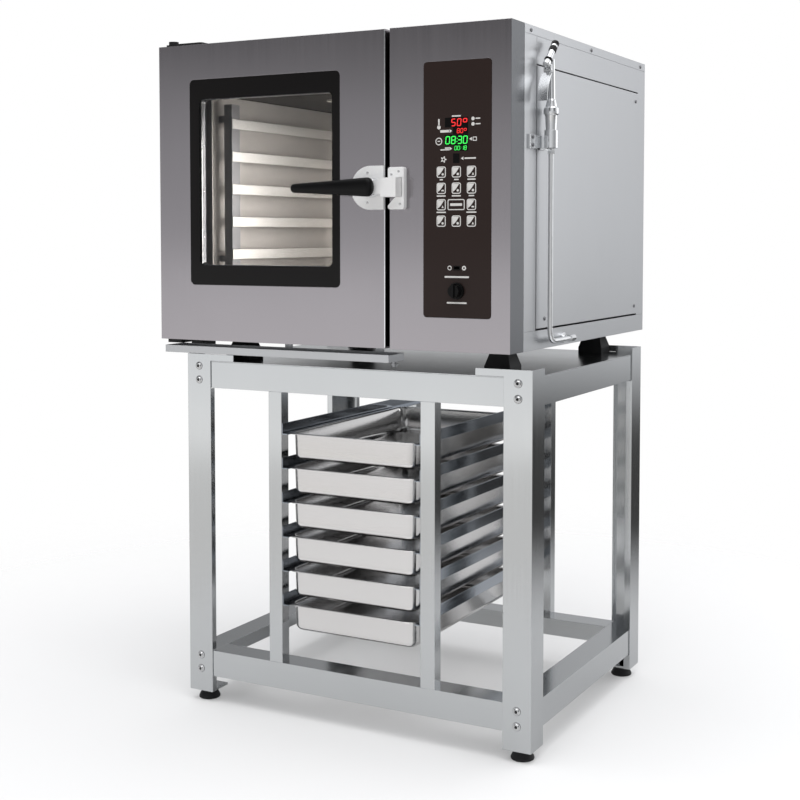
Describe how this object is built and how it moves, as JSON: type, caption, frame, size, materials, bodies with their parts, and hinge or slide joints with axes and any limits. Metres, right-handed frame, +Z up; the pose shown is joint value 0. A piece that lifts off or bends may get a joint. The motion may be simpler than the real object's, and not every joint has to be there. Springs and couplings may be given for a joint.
{
  "type": "combi steamer oven",
  "caption": "Counter combi steamer oven with a hinged glass door, lever latch, control column and spray gun, on an open pan stand with pans.",
  "frame": {"origin": "centre of the footprint of the whole object's box, on the floor", "axes": "+X to the right seen from the front, +Y to the back, +Z up; the door faces -Y"},
  "size_m": [0.9068, 0.895, 1.487],
  "materials": {
    "stand_steel": "satin",
    "polished_steel": "polished",
    "pan_steel": "polished",
    "fastener_steel": "bright",
    "black_rubber": "matte",
    "casing_steel": "satin",
    "graphite_steel": "satin",
    "bright_chrome": "bright",
    "black_plastic": "satin",
    "black_bracket": "satin",
    "window_glass": "clear",
    "panel_glass": "gloss",
    "circuit_board": "matte",
    "motor_paint": "satin",
    "heater_sheath": "matte",
    "mineral_wool": "matte",
    "brass_fitting": "satin"
  },
  "bodies": {
    "oven_body": {"stand_legs": "stand_steel", "stand_top_rails": "stand_steel", "stand_bottom_rails": "stand_steel", "stand_top_plate": "polished_steel", "rack_posts": "stand_steel", "rack_runners": "stand_steel", "stand_bolts": "fastener_steel", "oven_feet": "black_rubber", "base_tray": "casing_steel", "left_panel": "casing_steel", "right_panel": "casing_steel", "service_cover": "casing_steel", "back_panel": "casing_steel", "top_lid": "casing_steel", "front_frame": "casing_steel", "cavity_liner": "polished_steel", "insulation": "mineral_wool", "door_gasket": "black_rubber", "cavity_racks": "polished_steel", "fan_guard": "polished_steel", "fan_motor": "motor_paint", "heating_element": "heater_sheath", "steam_pipe": "casing_steel", "cavity_lamp": "window_glass", "drain_pipe": "casing_steel", "exhaust_vent": "casing_steel", "water_inlet": "brass_fitting", "cable_gland": "black_plastic", "control_column": "graphite_steel", "control_glass": "panel_glass", "control_board": "circuit_board", "probe_socket": "black_plastic", "latch_keeper": "bright_chrome", "drip_tray": "casing_steel", "hinge_brackets": "black_bracket", "body_screws": "fastener_steel", "spray_bracket": "bright_chrome", "spray_gun": "bright_chrome", "spray_hose": "bright_chrome", "hose_elbow": "bright_chrome"},
    "door": {"door_shell": "graphite_steel", "door_inner_frame": "casing_steel", "door_outer_glass": "window_glass", "door_inner_glass": "window_glass", "handle_plate": "bright_chrome"},
    "handle": {"handle_grip": "black_plastic", "latch_cam": "bright_chrome"},
    "power_knob": {"power_knob": "black_plastic"},
    "fan": {"fan_wheel": "polished_steel"},
    "spray_trigger": {"spray_trigger": "bright_chrome"},
    "pan_1": {"gn_pan_1": "pan_steel"},
    "pan_2": {"gn_pan_2": "pan_steel"},
    "pan_3": {"gn_pan_3": "pan_steel"},
    "pan_4": {"gn_pan_4": "pan_steel"},
    "pan_5": {"gn_pan_5": "pan_steel"},
    "pan_6": {"gn_pan_6": "pan_steel"},
    "foot_front_left": {"levelling_foot_front_left": "black_rubber"},
    "foot_front_right": {"levelling_foot_front_right": "black_rubber"},
    "foot_rear_left": {"levelling_foot_rear_left": "black_rubber"},
    "foot_rear_right": {"levelling_foot_rear_right": "black_rubber"}
  },
  "joints": [
    {"name": "door_hinge", "type": "hinge", "parent": "oven_body", "child": "door", "pos_m": [-0.4356, -0.3545, 1.145], "axis": [0, 0, -1], "range_deg": [0, 120]},
    {"name": "handle_turn", "type": "hinge", "parent": "door", "child": "handle", "pos_m": [0.1054, -0.4075, 1.15], "axis": [0, 1, 0], "range_deg": [0, 90]},
    {"name": "power_knob_turn", "type": "hinge", "parent": "oven_body", "child": "power_knob", "pos_m": [0.2914, -0.3975, 0.941], "axis": [0, 1, 0], "range_deg": [0, 90]},
    {"name": "fan_spin", "type": "hinge", "parent": "oven_body", "child": "fan", "pos_m": [0.0634, -0.0075, 1.1555], "axis": [1, 0, 0], "continuous": true},
    {"name": "spray_trigger_squeeze", "type": "hinge", "parent": "oven_body", "child": "spray_trigger", "pos_m": [0.4294, -0.2515, 1.386], "axis": [1, 0, 0], "range_deg": [0, 20], "stiffness_Nm_per_rad": 0.4, "springref_deg": -11.46},
    {"name": "pan_1_slide", "type": "slide", "parent": "oven_body", "child": "pan_1", "axis": [0, -1, 0], "range_m": [0, 0.42]},
    {"name": "pan_2_slide", "type": "slide", "parent": "oven_body", "child": "pan_2", "axis": [0, -1, 0], "range_m": [0, 0.42]},
    {"name": "pan_3_slide", "type": "slide", "parent": "oven_body", "child": "pan_3", "axis": [0, -1, 0], "range_m": [0, 0.42]},
    {"name": "pan_4_slide", "type": "slide", "parent": "oven_body", "child": "pan_4", "axis": [0, -1, 0], "range_m": [0, 0.42]},
    {"name": "pan_5_slide", "type": "slide", "parent": "oven_body", "child": "pan_5", "axis": [0, -1, 0], "range_m": [0, 0.42]},
    {"name": "pan_6_slide", "type": "slide", "parent": "oven_body", "child": "pan_6", "axis": [0, -1, 0], "range_m": [0, 0.42]},
    {"name": "foot_front_left_screw", "type": "slide", "parent": "oven_body", "child": "foot_front_left", "axis": [0, 0, -1], "range_m": [0, 0.015]},
    {"name": "foot_front_right_screw", "type": "slide", "parent": "oven_body", "child": "foot_front_right", "axis": [0, 0, -1], "range_m": [0, 0.015]},
    {"name": "foot_rear_left_screw", "type": "slide", "parent": "oven_body", "child": "foot_rear_left", "axis": [0, 0, -1], "range_m": [0, 0.015]},
    {"name": "foot_rear_right_screw", "type": "slide", "parent": "oven_body", "child": "foot_rear_right", "axis": [0, 0, -1], "range_m": [0, 0.015]}
  ]
}
